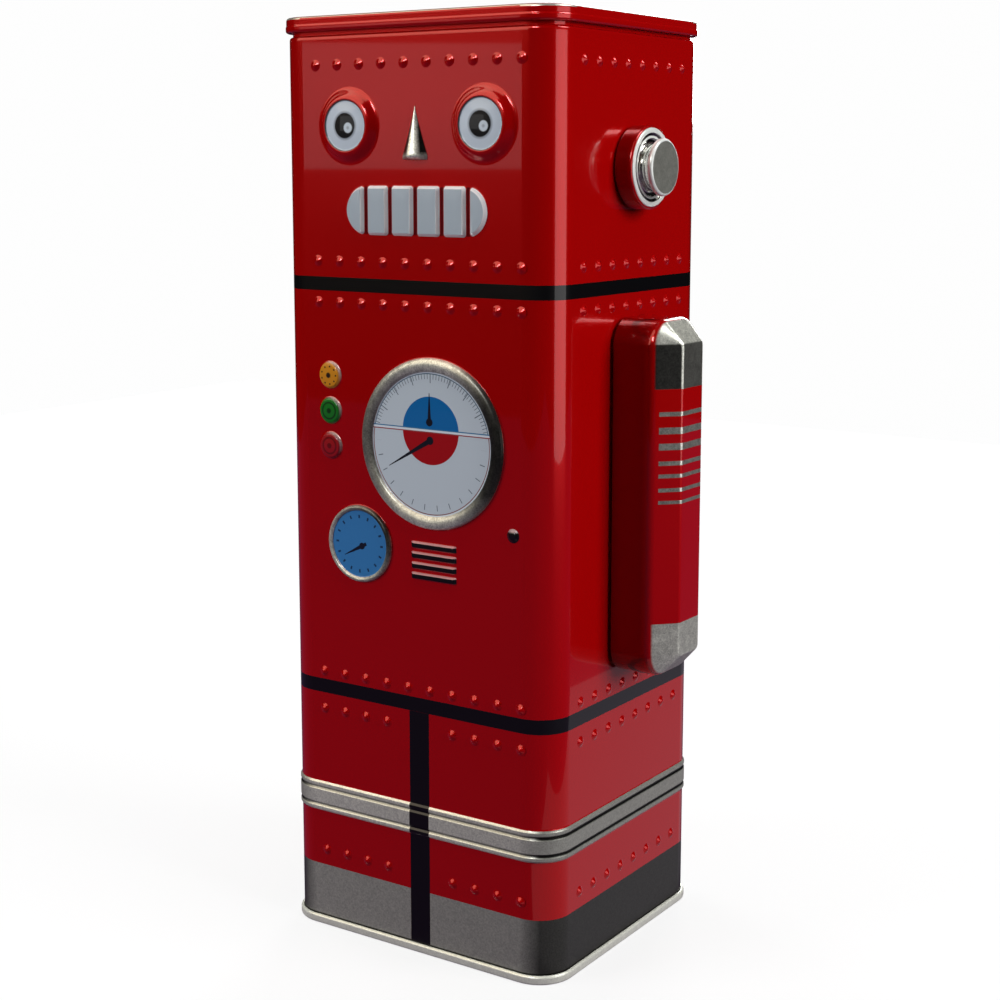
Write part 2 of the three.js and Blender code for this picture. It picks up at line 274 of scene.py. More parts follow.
def sheet_relief_group():
    """How rolled and printed sheet is never quite flat: long waves, and the varnish's fine ripple."""
    tree, given, result = shader_group("sheet_relief", {"Place": None}, {"Height": "NodeSocketFloat"})
    place = given.outputs["Place"]
    wave = noise(tree, place, Scale=16, Detail=1.0) * 0.05
    ripple = noise(tree, place, Scale=700, Detail=2.0) * 0.0012
    feed(tree, result.inputs["Height"], (wave + ripple) * MM)
    return tree


def silver_ink_group():
    """Grained silver, as the tin shows through a clear ink: a fine speckle over cloudy patches."""
    tree, given, result = shader_group(
        "silver_ink", {"Place": None, "Tone": 1.0, "Speckle": 0.42, "Cloud": 0.42},
        {"Colour": "NodeSocketColor", "Roughness": "NodeSocketFloat", "Height": "NodeSocketFloat"})
    place = given.outputs["Place"]
    tone, speckled, clouded = (Field(tree, given.outputs[key]) for key in ("Tone", "Speckle", "Cloud"))
    speckle = noise(tree, place, Scale=2200, Detail=2.0) - 0.5
    cloud = noise(tree, place, Scale=560, Detail=4.0, Roughness=0.65, Distortion=0.6) - 0.5
    tone = (speckle * speckled * 3 + cloud * clouded * 3 + 1) * tone
    red, green, blue = (tone * share for share in SILVER)
    colour = add_node(tree, "ShaderNodeCombineColor", Red=red, Green=green, Blue=blue)
    feed(tree, result.inputs["Colour"], colour.outputs[0])
    feed(tree, result.inputs["Roughness"], cloud * 0.2 + 0.36)
    feed(tree, result.inputs["Height"], speckle * 0.004 * MM)
    return tree


relief_group = sheet_relief_group()
silver_group = silver_ink_group()


def use_group(tree, group, *values):
    """Adds a shader group and feeds its inputs in order."""
    node = tree.nodes.new("ShaderNodeGroup")
    node.node_tree = group
    for slot, value in zip(node.inputs, values):
        feed(tree, slot, value)
    return node


def silver_ink(tree, point, tone, speckle, cloud):
    """The silver's colour, roughness and height. speckle and cloud say how strong its grain is."""
    node = use_group(tree, silver_group, point, tone, speckle, cloud)
    return node.outputs[0], Field(tree, node.outputs[1]), Field(tree, node.outputs[2])


def new_material(name):
    material = bpy.data.materials.new(name)
    material.use_nodes = True
    return material, material.node_tree


def dress(material, colour, metal, rough, height):
    """Gives a material its colour, how metallic and how rough it is, and its relief."""
    tree = material.node_tree
    shader = tree.nodes["Principled BSDF"]
    feed(tree, shader.inputs["Base Color"], colour)
    feed(tree, shader.inputs["Metallic"], metal)
    feed(tree, shader.inputs["Roughness"], rough)
    bump = add_node(tree, "ShaderNodeBump", Height=height, Distance=1.0, Strength=1.0)
    feed(tree, shader.inputs["Normal"], bump.outputs[0])
    return material


def varnish(material, colour, silver=None, tone=1.0, opaque=None, grain=(0.42, 0.42)):
    """Finishes a printed surface: ink, silver where its mask says, and a clear gloss over all.

    The red ink is a lacquer that lets the tin shine through; opaque is the mask of the inks that don't.
    grain is how strongly the silver is speckled and clouded."""
    tree = material.node_tree
    shader = tree.nodes["Principled BSDF"]
    point = surface_point(tree)
    height = Field(tree, use_group(tree, relief_group, point).outputs[0])
    shine, rough, gloss = 0.34, 0.2, 1.0
    if opaque is not None:
        shine = (opaque * -1 + 1) * shine
        rough = opaque * 0.2 + rough
    if silver is not None:
        ink, ink_rough, ink_height = silver_ink(tree, point, tone, *grain)
        colour = painted(tree, colour, (silver, ink))
        height = height + ink_height * silver
        lacquer = silver * -1 + 1
        shine = lacquer * shine + silver * 0.6
        rough = lacquer * rough + ink_rough * silver
        gloss = silver * -0.85 + 1
    feed(tree, shader.inputs["Coat Weight"], gloss)
    shader.inputs["Specular IOR Level"].default_value = 0.2
    shader.inputs["Coat Roughness"].default_value = 0.03
    shader.inputs["Coat IOR"].default_value = 1.45
    return dress(material, colour, shine, rough, height)


def body_print():
    """The all-over print: red, with black lines at neck, waist and legs, a silver belt and silver feet. The
    silver and the red between the teeth carry painted shade.
    """
    material, tree = new_material("body_print")
    x, y, z = place_in(tree)
    on_flat = y.size().over(half_depth - corner_radius / 2)
    leg = (x - art_shift).size().under(leg_band_half) * z.under(waist_band[0]) * on_flat
    black = z.between(*neck_band).most(z.between(*waist_band)).most(leg)
    unprinted = (x - bare_strip_x).size().under(bare_strip_half) * y.over(half_depth - 1 * MM)
    belt = z.between(belt_low, belt_high)
    silver = (belt.most(z.under(foot_high)) * (black * -1 + 1)).most(unprinted)
    # Painted shade in the silver's tone: darker towards the sides and corners, in the belt's grooves, a
    # little darker towards the robot's left, and a dark line just above the base seam. The belt is lighter
    # than the feet.
    flank = x.size().over(half_width - 0.75 * corner_radius, 6 * MM)
    groove = (z - belt_middle).size().between(belt_groove - 0.55 * MM, belt_groove + 0.45 * MM, 0.3 * MM)
    at_seam = z.under(seam_top + 0.45 * MM, 0.3 * MM)
    tone = (flank * -0.86 + 0.98) + belt * (flank * 0.1 + 0.65 - groove * 0.85)
    tone = tone * (x * -2 + 1) * (at_seam * -0.9 + 1)
    # Painted shade: the red that shows in the gaps between the teeth is darker.
    between_teeth = ((x - art_shift).size().under(tooth_gaps[-1] + tooth_gap / 2)
                     * (z - mouth_z).size().under(mouth_tall / 2 - 0.3 * MM) * y.under(0))
    colour = painted(tree, RED, (between_teeth, (0.13, 0.0003, 0.002)), (black, BLACK))
    return varnish(material, colour, silver, tone, black * (unprinted * -1 + 1), grain=(0.3, 0.09))


def relief_of_belt():
    """The belt's profile, going up: a rib at each edge, a groove, and a wider rib in the middle."""
    edge, edge_round = 0.5 * MM, 0.3 * MM
    half, slope = 0.4 * MM, 0.3 * MM
    path = [(0, belt_low), (belt_rise, belt_low + edge, edge_round)]
    for groove in (belt_middle - belt_groove, belt_middle + belt_groove):
        path += [(belt_rise, groove - half - slope, slope), (belt_rise * 0.1, groove, slope),
                 (belt_rise, groove + half + slope, slope)]
    return [*path, (belt_rise, belt_high - edge, edge_round), (0, belt_high)]


def wall_profile():
    shoulder = 1 * MM
    flat = 0.5 * MM
    neck = -neck_inset
    return softened([
        (0, wall_bottom), (0, belt_low - flat), *relief_of_belt(),
        (0, belt_high + flat), (0, shoulder_top - shoulder - flat),
        (0, shoulder_top, shoulder * 0.95), (neck, shoulder_top, 0.15 * MM),
        (neck, neck_top, 0.2 * MM), (neck - sheet, neck_top, 0.2 * MM),
        (neck - sheet, shoulder_top - 0.5 * MM), (-sheet, shoulder_top - shoulder - sheet),
        (-sheet, wall_bottom),
    ])


# Outlines of the pressings, as arcs of (centre x, centre z, radius, start, end) counter-clockwise.

def circle(x, z, radius):
    return [(x, z, radius, 0, 355)]


def block(x, z, wide, tall, radius):
    a, b = wide / 2 - radius, tall / 2 - radius
    return [(x + a, z - b, radius, -90, 0), (x + a, z + b, radius, 0, 90),
            (x - a, z + b, radius, 90, 180), (x - a, z - b, radius, 180, 270)]


def loop_of(outline, grow, step=5):
    points = []
    for x, z, radius, start, end in outline:
        steps = max(3, round(abs(end - start) / step))
        for k in range(steps + 1):
            angle = math.radians(start + (end - start) * k / steps)
            points.append((x + (radius + grow) * math.cos(angle), z + (radius + grow) * math.sin(angle)))
    return points


def bead(width, rise, steps=7):
    """A pressed edge that leaves the sheet smoothly and levels off: (grow, rise) pairs going inwards."""
    return [(-width * k / steps, rise * (1 - math.cos(math.pi * k / steps)) / 2) for k in range(steps + 1)]


def bare_tin(name, tone, shine):
    """Tinplate without print, faintly streaked along the way it was rolled."""
    material, tree = new_material(name)
    point = surface_point(tree)
    ink, rough, height = silver_ink(tree, point, tone, 0.12, 0.1)
    stretched = add_node(tree, "ShaderNodeMapping", Vector=point, Scale=(40, 2400, 2400)).outputs[0]
    streak = noise(tree, stretched, Scale=1.0, Detail=2.0)
    return dress(material, ink, shine, rough * 0.4 + 0.18, streak * (0.002 * MM) + height)


bare_material = bare_tin("bare_tin", 1.35, 0.8)


holes = []                      # the outline that each pressing leaves open in the front, as (x, z)


def pressing(name, outline, profile, material, margin=0.3 * MM):
    """A shape pressed out of the front. The profile lists (grow, rise) from its edge inwards."""
    rings = [(margin, 0.0), *profile]
    loops = [loop_of(outline, grow) for grow, _ in rings]
    holes.append(loops[0])
    n = len(loops[0])
    verts = [(x, -half_depth - rise, z) for loop, (_, rise) in zip(loops, rings) for x, z in loop]
    faces = strips(n, len(loops))
    middle = len(verts)
    last = loops[-1]
    verts.append((sum(x for x, _ in last) / n, -half_depth - rings[-1][1], sum(z for _, z in last) / n))
    faces += [(middle - n + k, middle - n + (k + 1) % n, middle) for k in range(n)]
    made = piece(name, (verts, faces), [material], "tin")
    return made


red_material = varnish(new_material("red_print")[0], RED)


# ---- Eyes ----------------------------------------------------------------------------------
# Each eye is a round dome pressed into the head: a red ring that bulges, and a pale disc in its
# middle with a printed black pupil and a white glint.

eye_spread = 23.1 * MM
eye_z = shoulder_top - 25.4 * MM
eye_radius = 10.8 * MM
eye_disc = 6.9 * MM
pupil_radius = 3.5 * MM
glint_radius = 1.45 * MM
glint_offset = (1.15 * MM, -0.6 * MM)


def eye_print(name, centre_x):
    material, tree = new_material(name)
    x, _, z = place_in(tree, (centre_x, 0, eye_z))
    radius = x.hypot(z)
    glint = (x - glint_offset[0]).hypot(z - glint_offset[1])
    disc = radius.under(eye_disc + 0.3 * MM)
    colour = painted(
        tree, RED,
        (disc, (0.05, 0.055, 0.06)),
        (radius.under(eye_disc, 0.15 * MM), (0.62, 0.70, 0.78)),
        (radius.under(pupil_radius + 0.35 * MM, 0.9 * MM), (0.20, 0.23, 0.27)),
        (radius.under(pupil_radius, 0.2 * MM), (0.006, 0.007, 0.009)),
        (glint.under(glint_radius, 0.3 * MM), (0.66, 0.74, 0.80)),
        (glint.under(0.45 * MM, 0.4 * MM), (0.40, 0.46, 0.5)))
    return varnish(material, colour, opaque=disc)


def eye_profile():
    bulge, lip = 2.15 * MM, 1.8 * MM
    ring = eye_radius - eye_disc
    rim = [(-ring * t / 12, bulge * (1 - math.cos(math.pi * min(1, t / 10))) / 2) for t in range(12)]
    return [*rim, (-ring * 0.97, bulge - 0.1 * MM), (-ring - 0.05 * MM, lip), (-ring - 0.3 * MM, lip),
            (-eye_radius * 0.6, lip + 0.2 * MM), (-eye_radius * 0.8, lip + 0.3 * MM)]


for side, sign in (("right", -1), ("left", 1)):
    eye_x = art_shift + sign * eye_spread
    pressing(f"eye_{side}", circle(eye_x, eye_z, eye_radius), eye_profile(), eye_print(f"eye_{side}", eye_x))


# ---- Nose ----------------------------------------------------------------------------------
# A small silver cone pressed out between the eyes, sharp at the top and cut off flat below.

nose_tip = shoulder_top - 19.9 * MM
nose_tall = 15 * MM
nose_half = 4.3 * MM
nose_rise = 3.4 * MM


def nose_print():
    material, tree = new_material("nose_print")
    x, y, z = place_in(tree, (art_shift, -half_depth, nose_tip))
    silver = y.under(-0.1 * MM, 0.1 * MM)
    half = z * -nose_half / nose_tall + 0.35 * MM
    # Painted highlight and shade on the silver: a bright ridge set a little towards the robot's left, and
    # dark sides that are painted less dark near the cut-off lower end.
    side = (x / half - 0.2).size().over(0.38, 0.22)
    low_edge = z.under(-nose_tall + 1.6 * MM, 1.2 * MM)
    return varnish(material, RED, silver, side * (low_edge * -0.5 + 1) * -1.82 + 1.85)


def nose():
    rows, columns, end_steps = 20, 18, 5
    end = 1.1 * MM
    levels = []                     # half width, rise and height, going down the cone and over its end
    for row in range(rows + 1):
        down = row / rows
        half = max(0.25 * MM, nose_half * down ** 1.15)
        levels.append((half, nose_rise * down ** 1.05, nose_tip - (nose_tall - end) * down))
    for step in range(1, end_steps + 1):
        turn = math.pi / 2 * step / end_steps
        z = nose_tip - nose_tall + end * (1 - math.sin(turn))
        levels.append((nose_half, nose_rise * math.cos(turn), z))
    spread = [2 * k / columns - 1 for k in range(columns + 1)]
    verts = [(art_shift + half * across, -half_depth - rise * (1 - abs(across) ** 1.5) ** 0.9, z)
             for half, rise, z in levels for across in spread]
    width, total = columns + 1, len(levels)
    faces = []
    for row in range(total - 1):
        high, low = row * width, (row + 1) * width
        faces += [(low + k, low + k + 1, high + k + 1, high + k) for k in range(columns)]
    edge = ([row * width for row in range(total)] + [(total - 1) * width + k for k in range(1, width)]
            + [row * width + columns for row in range(total - 2, -1, -1)] + list(range(columns - 1, 0, -1)))
    holes.append([(verts[i][0], verts[i][2]) for i in edge])
    return piece("nose", (verts, faces), [nose_print()], "tin")


nose()


# ---- Teeth ---------------------------------------------------------------------------------
# Six pale blocks pressed out side by side make the mouth; the outer two have half-round ends.

mouth_z = shoulder_top - 49 * MM
mouth_width = 48.4 * MM
mouth_tall = 13.9 * MM
tooth_gap = 1.3 * MM
tooth_gaps = [v * MM for v in (-17.3, -8.8, 0, 9, 17.8)]


def tooth_print():
    material, tree = new_material("tooth_print")
    _, y, _ = place_in(tree, (0, -half_depth, 0))
    raised = y.under(-0.1 * MM, 0.08 * MM)
    # Painted highlight: the bevelled sides of each tooth are painted near white.
    edge = y.over(-tooth_rise + 0.06 * MM, 0.1 * MM)
    colour = painted(tree, RED, (raised, (0.45, 0.52, 0.57)), (raised * edge, (0.96, 0.98, 0.98)))
    return varnish(material, colour, opaque=raised)


tooth_rise = 1.2 * MM
tooth_bevel = 0.85 * MM


def end_tooth(left, right, mirrored):
    """A tooth whose left end is part of a circle as wide as the mouth is tall, or its mirror image."""
    tight = 0.9 * MM
    end = mouth_tall / 2
    across = right - tight - (left + end)
    up = math.sqrt((end - tight) ** 2 - across ** 2)
    meet = math.degrees(math.atan2(up, across))
    arcs = [(right - tight, mouth_z + up, tight, 0, meet), (left + end, mouth_z, end, meet, 360 - meet),
            (right - tight, mouth_z - up, tight, 360 - meet, 360)]
    if mirrored:
        arcs = [(left + right - x, z, radius, 180 - last, 180 - first)
                for x, z, radius, first, last in reversed(arcs)]
    return arcs


def tooth_outlines():
    edges = [-mouth_width / 2, *tooth_gaps, mouth_width / 2]
    last = len(tooth_gaps)
    for i, (left, right) in enumerate(zip(edges, edges[1:])):
        low = left + (tooth_gap / 2 if i else 0) + art_shift
        high = right - (tooth_gap / 2 if i < last else 0) + art_shift
        if i in (0, last):
            yield end_tooth(low, high, i == last)
        else:
            yield block((low + high) / 2, mouth_z, high - low, mouth_tall, 0.9 * MM)


tooth_material = tooth_print()
for i, tooth_outline in enumerate(tooth_outlines()):
    sides = [(0.0, 0.0), (-0.12 * MM, 0.25 * MM), (-tooth_bevel + 0.1 * MM, tooth_rise - 0.1 * MM),
             (-tooth_bevel, tooth_rise)]
    pressing(f"tooth_{i + 1}", tooth_outline, sides, tooth_material, 0.2 * MM)


# ---- Chest dial ----------------------------------------------------------------------------
# A large printed dial inside a raised silver bezel: pale face, one scale round each half, a blue
# and a red half disc on the dividing line, and two black needles.

dial_x = art_shift + 5.1 * MM
dial_z = shoulder_top - 114 * MM
dial_radius = 24.4 * MM
dial_face = 20.6 * MM
dial_line = 3.9 * MM              # the dividing line is above the middle
PALE_GREY = (0.55, 0.62, 0.68)
half_disc = 9.7 * MM


def tick_ring(angle, radius, count, inner, outer, half_thick):
    """Marks set evenly round a circle, each as thick all along."""
    step = 2 * math.pi / count
    off = angle.math("PINGPONG", step / 2)
    return (off * radius).under(half_thick, 0.08 * MM) * radius.between(inner, outer, 0.08 * MM)


def needle(x, z, start, heading, length, root, tip, hub):
    """A tapering needle from its hub: heading is in degrees, counter-clockwise from straight right."""
    cos, sin = math.cos(math.radians(heading)), math.sin(math.radians(heading))
    along = (x - start[0]) * cos + (z - start[1]) * sin
    across = (x - start[0]) * -sin + (z - start[1]) * cos
    half = along * ((tip - root) / length) + root
    shaft = (across.size() - half).under(0, 0.06 * MM) * along.between(-0.5 * MM, length, 0.06 * MM)
    return shaft.most((x - start[0]).hypot(z - start[1]).under(hub, 0.06 * MM))


def dial_print():
    material, tree = new_material("dial_print")
    x, _, z = place_in(tree, (dial_x, 0, dial_z))
    radius = x.hypot(z)
    angle = z.math("ARCTAN2", x)
    above = z.over(dial_line)
    line_z = z - dial_line
    bezel = radius.over(dial_face, 0.1 * MM) * radius.under(dial_radius, 0.1 * MM)
    inked = radius.under(dial_face)
    fine = tick_ring(angle, radius, 120, 18.5 * MM, 20.1 * MM, 0.09 * MM)
    coarse = tick_ring(angle - math.pi / 2, radius, 18, 17.4 * MM, 20.1 * MM, 0.13 * MM)
    lower = tick_ring(angle, radius, 26, 17.3 * MM, 19.0 * MM, 0.12 * MM)
    ticks = (fine.most(coarse) * above).most(lower * z.under(dial_line - 4 * MM))
    disc = x.hypot(line_z).under(half_disc)
    white_line = line_z.size().under(0.3 * MM) * inked
    blue_line = line_z.between(0.28 * MM, 0.62 * MM) * inked
    red_line = line_z.between(-0.62 * MM, -0.3 * MM) * inked
    rim_line = radius.between(dial_face - 0.7 * MM, dial_face - 0.45 * MM)
    up = needle(x, z, (-0.4 * MM, dial_line + 2.4 * MM), 90, 8.3 * MM, 0.62 * MM, 0.1 * MM, 1.15 * MM)
    down = needle(x, z, (-0.2 * MM, dial_line - 2.8 * MM), 210, 16.7 * MM, 0.78 * MM, 0.1 * MM, 1.2 * MM)
    colour = painted(
        tree, RED,
        (inked, PALE_GREY),
        (rim_line * above, (0.04, 0.10, 0.17)),
        (rim_line * (above * -1 + 1), (0.22, 0.06, 0.05)),
        (ticks, (0.10, 0.13, 0.17)),
        (disc * above, (0.002, 0.13, 0.38)),
        (disc * (above * -1 + 1), (0.36, 0.001, 0.003)),
        (blue_line, (0.03, 0.17, 0.34)),
        (red_line, (0.30, 0.05, 0.05)),
        (white_line, (0.70, 0.76, 0.82)),
        (up.most(down), (0.004, 0.006, 0.012)))
    # Painted highlight and shade on the silver bezel: light at top and bottom, dark on the right.
    up_down = z / dial_radius
    dark_right = x.over(13 * MM, 12 * MM) * (up_down.over(-0.75, 0.5) * 0.85 + 0.1)
    light = (up_down * up_down * 1.25 + 0.42) * (dark_right * -0.92 + 1)
    return varnish(material, colour, bezel, light, inked)


bezel_width = dial_radius - dial_face
dial_rise, dial_dip = 1.55 * MM, 0.6 * MM


def bezel_profile(width, rise, dip, radius):
    """A rounded rim that drops to a flat face: (grow, rise) pairs going inwards."""
    top = [(-width * (1 - math.cos(math.pi * k / 10)) / 2, rise * math.sin(math.pi * k / 10) ** 0.7)
           for k in range(0, 8)]
    return [*top, (-width * 0.95, rise * 0.72), (-width, dip), (-width - 0.4 * MM, dip), (-radius * 0.7, dip)]


pressing("chest_dial", circle(dial_x, dial_z, dial_radius),
         bezel_profile(bezel_width, dial_rise, dial_dip, dial_radius), dial_print())


# ---- Small gauge ---------------------------------------------------------------------------
# A blue gauge below the dial, in a thin silver bezel, with a ring of marks and one needle.

gauge_x = art_shift - 20.8 * MM
gauge_z = shoulder_top - 145.5 * MM
gauge_radius = 11.4 * MM
gauge_face = 9.9 * MM


def gauge_print():
    material, tree = new_material("gauge_print")
    x, _, z = place_in(tree, (gauge_x, 0, gauge_z))
    radius = x.hypot(z)
    angle = z.math("ARCTAN2", x)
    bezel = radius.over(gauge_face, 0.1 * MM) * radius.under(gauge_radius, 0.1 * MM)
    marks = tick_ring(angle, radius, 16, 7.6 * MM, 8.6 * MM, 0.28 * MM)
    pointer = needle(x, z, (0.9 * MM, -0.6 * MM), 207, 7.2 * MM, 0.6 * MM, 0.08 * MM, 1.0 * MM)
    tail = needle(x, z, (0.9 * MM, -0.6 * MM), 27, 1.8 * MM, 0.5 * MM, 0.5 * MM, 0.5 * MM)
    inked = radius.under(gauge_face)
    colour = painted(
        tree, RED,
        (inked, (0.035, 0.19, 0.46)),
        (marks, (0.008, 0.035, 0.09)),
        (pointer.most(tail), (0.004, 0.008, 0.02)))
    # Painted highlight and shade on the silver bezel: bright to the lower left, a little light to the upper
    # left, dark elsewhere.
    light = (z + x).under(4 * MM, 16 * MM) * 1.0 + (z - x).over(6 * MM, 8 * MM) * 0.3 + 0.12
    return varnish(material, colour, bezel, light, inked)


pressing("small_gauge", circle(gauge_x, gauge_z, gauge_radius),
         bezel_profile(gauge_radius - gauge_face, 1.15 * MM, 0.55 * MM, gauge_radius), gauge_print())


# ---- Lamps, switch and vent ----------------------------------------------------------------
# Three round lamps printed yellow, green and red, a small black switch, and a vent of four louvres.

lamp_x = art_shift - 31.2 * MM
lamp_radius = 4.2 * MM
lamps = {
    "lamp_yellow": (96.7 * MM, (0.62, 0.24, 0.01), (0.02, 0.01, 0.004)),
    "lamp_green": (107.1 * MM, (0.006, 0.15, 0.012), (0.002, 0.03, 0.004)),
    "lamp_red": (117.4 * MM, (0.30, 0.004, 0.008), (0.13, 0.001, 0.003)),
}


def lamp_print(name, z_middle, glass, dark):
    material, tree = new_material(name)
    x, _, z = place_in(tree, (lamp_x, 0, z_middle))
    radius = x.hypot(z)
    angle = z.math("ARCTAN2", x)
    # Painted highlight: a pale crescent on the rim at each lamp's upper right.
    rim = radius.between(3.55 * MM, 4.1 * MM, 0.2 * MM) * (x + z).over(3.2 * MM, 3 * MM)
    dots = tick_ring(angle, radius, 9, 2.35 * MM, 2.85 * MM, 0.25 * MM)
    ring = radius.between(2.1 * MM, 2.6 * MM, 0.3 * MM)
    inked = radius.under(3.9 * MM, 0.15 * MM)
    colour = painted(
        tree, RED,
        (inked, glass),
        (dots if name == "lamp_yellow" else ring, dark),
        (radius.under(0.8 * MM, 0.3 * MM), dark),
        (rim * 0.8, (0.55, 0.42, 0.40)))
    return varnish(material, colour, opaque=inked)


def lamp_profile():
    dish = [(-lamp_radius * t, (0.85 + 0.25 * t) * MM) for t in (0.35, 0.5, 0.7, 0.9)]
    return [*bead(1.0 * MM, 0.9 * MM, 6), *dish]


for name, (drop, glass, dark) in lamps.items():
    lamp_z = shoulder_top - drop
    pressing(name, circle(lamp_x, lamp_z, lamp_radius), lamp_profile(), lamp_print(name, lamp_z, glass, dark))

switch_x, switch_z = art_shift + 32.6 * MM, shoulder_top - 137.1 * MM
switch_radius = 2.1 * MM


def switch_print():
    material, tree = new_material("switch_print")
    x, _, z = place_in(tree, (switch_x, 0, switch_z))
    radius = x.hypot(z)
    inked = radius.under(switch_radius - 0.1 * MM)
    # Painted highlight along the upper edge of the switch.
    glint = radius.over(1.0 * MM, 0.4 * MM) * inked * z.over(1.1 * MM, 0.5 * MM)
    colour = painted(tree, RED, (inked, BLACK), (glint * 0.7, (0.62, 0.40, 0.40)))
    return varnish(material, colour, opaque=inked)


pressing("switch", circle(switch_x, switch_z, switch_radius), bead(1.3 * MM, 0.75 * MM, 6), switch_print(),
         0.2 * MM)

vent_x = art_shift + 5.6 * MM
vent_top = shoulder_top - 143.5 * MM
vent_pitch = 3 * MM
vent_width = 15.4 * MM
louvre_count = 4
louvre_tall = 2.3 * MM


def louvre_print():
    material, tree = new_material("louvre_print")
    _, _, z = place_in(tree)
    down = (z - (vent_top - (louvre_count - 0.5) * vent_pitch)).math("FLOORED_MODULO", vent_pitch)
    slot_low, slot_high, lip_high = (vent_pitch / 2 + v * MM for v in (-0.75, 0.6, 1.05))
    # Painted highlight: a pale line along the lip above each black slot.
    slot, lip = down.between(slot_low, slot_high), down.between(slot_high, lip_high)
    colour = painted(tree, RED, (slot, BLACK), (lip, (0.62, 0.30, 0.30)))
    return varnish(material, colour, opaque=slot.most(lip))


louvre_material = louvre_print()
for i in range(louvre_count):
    louvre = block(vent_x, vent_top - i * vent_pitch, vent_width, louvre_tall, 0.65 * MM)
    pressing(f"louvre_{i + 1}", louvre, bead(0.6 * MM, 0.75 * MM, 5), louvre_material, 0.15 * MM)


# ---- Body sheet, cut and closed ------------------------------------------------------------
# The wall, shoulder and neck carried round the tin. The flat of the front is filled in round the
# pressings, each of which stands in an opening of its own outline, so that the sheet is one skin.

def inside_of(point, loop):
    """True if a point lies in a closed loop."""
    x, z = point
    odd = False
    for (xa, za), (xb, zb) in zip(loop, loop[1:] + loop[:1]):
        if (za > z) != (zb > z) and x < (xb - xa) * (z - za) / (zb - za) + xa:
            odd = not odd
    return odd


def pierced(rectangle, gaps):
    """Flat faces that fill a rectangle round its gaps, as corner points of (x, z)."""
    loops = [rectangle, *gaps]
    points = [Vector(p) for loop in loops for p in loop]
    edges, start = [], 0
    for loop in loops:
        edges += [(start + i, start + (i + 1) % len(loop)) for i in range(len(loop))]
        start += len(loop)
    found, _, faces, *_ = delaunay_2d_cdt(points, edges, [], 0, 1e-8)
    spans = [(min(p[0] for p in g), max(p[0] for p in g), min(p[1] for p in g), max(p[1] for p in g), g)
             for g in gaps]
    kept = []
    for face in faces:
        middle = sum((found[i] for i in face), Vector((0, 0))) / len(face)
        if not any(a < middle.x < b and c < middle.y < d and inside_of(middle, g) for a, b, c, d, g in spans):
            kept.append(tuple(face))
    return found, kept


def body_sheet():
    spokes = box_spokes(half_width, half_depth, corner_radius)
    profile = wall_profile()
    verts, faces = carried(profile, spokes, corner_radius)
    n = len(spokes)
    plain_low = belt_high + 0.5 * MM
    plain_row = next(i for i, (out, z) in enumerate(profile) if out == 0 and abs(z - plain_low) < 1e-7)
    faces.remove((plain_row * n + n - 1, plain_row * n, (plain_row + 1) * n, (plain_row + 1) * n + n - 1))
    low, high = profile[plain_row][1], profile[plain_row + 1][1]
    side = half_width - corner_radius
    found, kept = pierced([(-side, low), (side, low), (side, high), (-side, high)], holes)
    start = len(verts)
    verts += [(p.x, -half_depth, p.y) for p in found]
    faces += [tuple(start + i for i in face) for face in kept]
    return verts, faces


def bare_inside(middle):
    """The inside of the tin isn't printed."""
    at_neck = middle.z > shoulder_top - 0.75 * MM
    return 1 if outset(middle.x, middle.y) < (-neck_inset if at_neck else 0) - sheet / 2 else 0


body_material = body_print()
made = piece("body_sheet", body_sheet(), [body_material, bare_material], "tin", bare_inside)
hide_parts("body_shell")


# ---- Side seam -----------------------------------------------------------------------------
# The sheet's two edges are lapped and welded up the middle of the back. The lap stands a little
# proud, and a narrow strip along its edge is left without print.

seam_half = 2.6 * MM
lap_rise = 0.32 * MM


def lap_strip():
    slope, sunk = 0.25 * MM, 0.1 * MM
    section = [(-seam_half, -sunk), (-seam_half, 0.0), (-seam_half + slope, lap_rise),
               (seam_half - slope, lap_rise), (seam_half, 0.0), (seam_half, -sunk)]
    ends = (3 * MM, shoulder_top - 2.2 * MM)
    verts = [(-x, half_depth + out, z) for z in ends for x, out in section]
    return verts, strips(len(section), 2) + caps(len(section), 2)


made = piece("side_seam", lap_strip(), [body_material], "tin")


# ---- Pressed rivet heads -------------------------------------------------------------------
# Rows of small domes pressed out of the sheet, above and below each joint of the robot's armour.

rivet_pitch = 7.8 * MM
rivet_radius = 1.7 * MM
rivet_rise = 0.78 * MM
rivet_rows = [shoulder_top - v * MM for v in (8.4, 63.7, 75.6, 186.2, 197.8, 242.4)]


def rivet_points():
    """A place and an outward direction for each rivet. The two lowest rows leave room for the leg line."""
    for row, z in enumerate(rivet_rows):
        for k in range(-9, 10, 2):
            if row < len(rivet_rows) - 2 or abs(k) > 2:
                for sign in (-1, 1):
                    yield (art_shift + k / 2 * rivet_pitch, sign * half_depth, z), (0, sign, 0)
        for k in range(-7, 8, 2):
            for sign in (-1, 1):
                yield (sign * half_width, k / 2 * rivet_pitch + 0.5 * MM, z), (sign, 0, 0)


